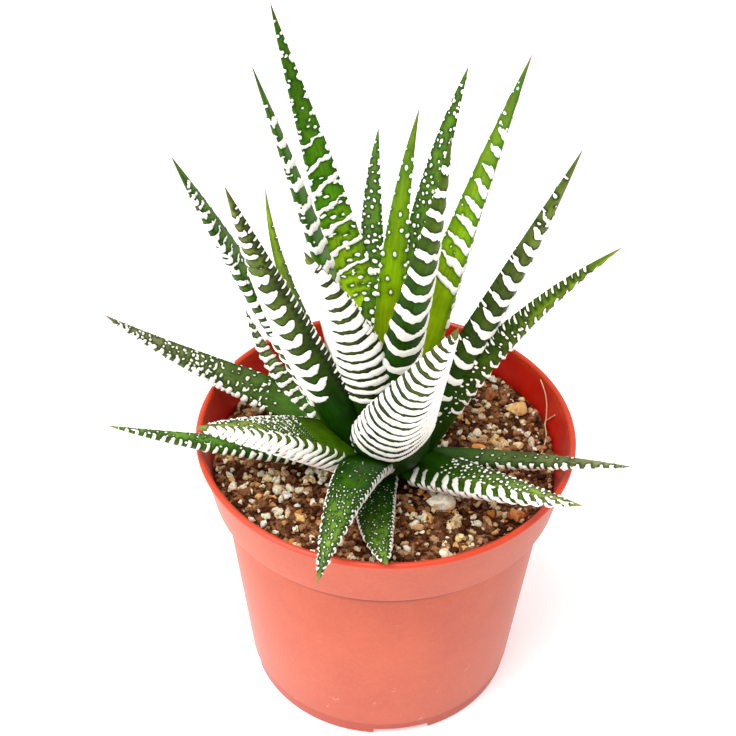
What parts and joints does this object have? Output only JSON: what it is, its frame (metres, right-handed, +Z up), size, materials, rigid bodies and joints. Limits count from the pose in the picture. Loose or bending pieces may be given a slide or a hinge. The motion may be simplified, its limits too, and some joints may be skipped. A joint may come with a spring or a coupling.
{
  "type": "potted haworthia",
  "caption": "Small potted succulent: a rosette of pointed green leaves with raised white bands and dots, in soil with pebbles, in a tapering nursery pot.",
  "frame": {"origin": "centre of the pot's flat base, on the surface it stands on", "axes": "+Z up the pot's axis; +X to the right and -Y towards the viewer of the pot's front, with one drain notch facing -Y a little to the right"},
  "size_m": [0.1209, 0.1138, 0.1652],
  "materials": {
    "pot": "satin moulded plastic, orange-red",
    "soil": "damp peat and bark mix",
    "stem": "green plant tissue",
    "leaf": "waxy green leaf with raised white dots",
    "banded_leaf": "waxy green leaf with raised white cross bands",
    "stone": "dull pale pebble"
  },
  "bodies": {
    "root": {"leaf_back_dark": "leaf", "leaf_back_left_tall": "leaf", "leaf_back_left_thin": "leaf", "leaf_back_low": "leaf", "leaf_back_right_low": "leaf", "leaf_back_short": "leaf", "leaf_centre_smooth": "leaf", "leaf_front_banded": "banded_leaf", "leaf_front_left": "leaf", "leaf_front_low": "leaf", "leaf_front_short": "leaf", "leaf_front_striped": "banded_leaf", "leaf_front_wide": "banded_leaf", "leaf_left_banded": "banded_leaf", "leaf_left_long": "leaf", "leaf_left_low": "leaf", "leaf_left_outer": "leaf", "leaf_left_small": "leaf", "leaf_left_tall_thin": "leaf", "leaf_right_banded": "banded_leaf", "leaf_right_low": "leaf", "leaf_right_olive": "leaf", "leaf_right_smooth": "leaf", "leaf_right_tall": "leaf", "pot": "pot", "soil": "soil", "stem": "stem", "stone_brown": "stone", "stone_cream_front": "stone", "stone_cream_large": "stone", "stone_greenish": "stone", "stone_orange": "stone", "stone_pale_right": "stone", "stone_russet": "stone", "stone_tan": "stone", "stone_tan_left": "stone", "stone_white_front": "stone", "stone_white_inner": "stone", "stone_white_left": "stone", "stone_white_right": "stone"}
  },
  "joints": []
}
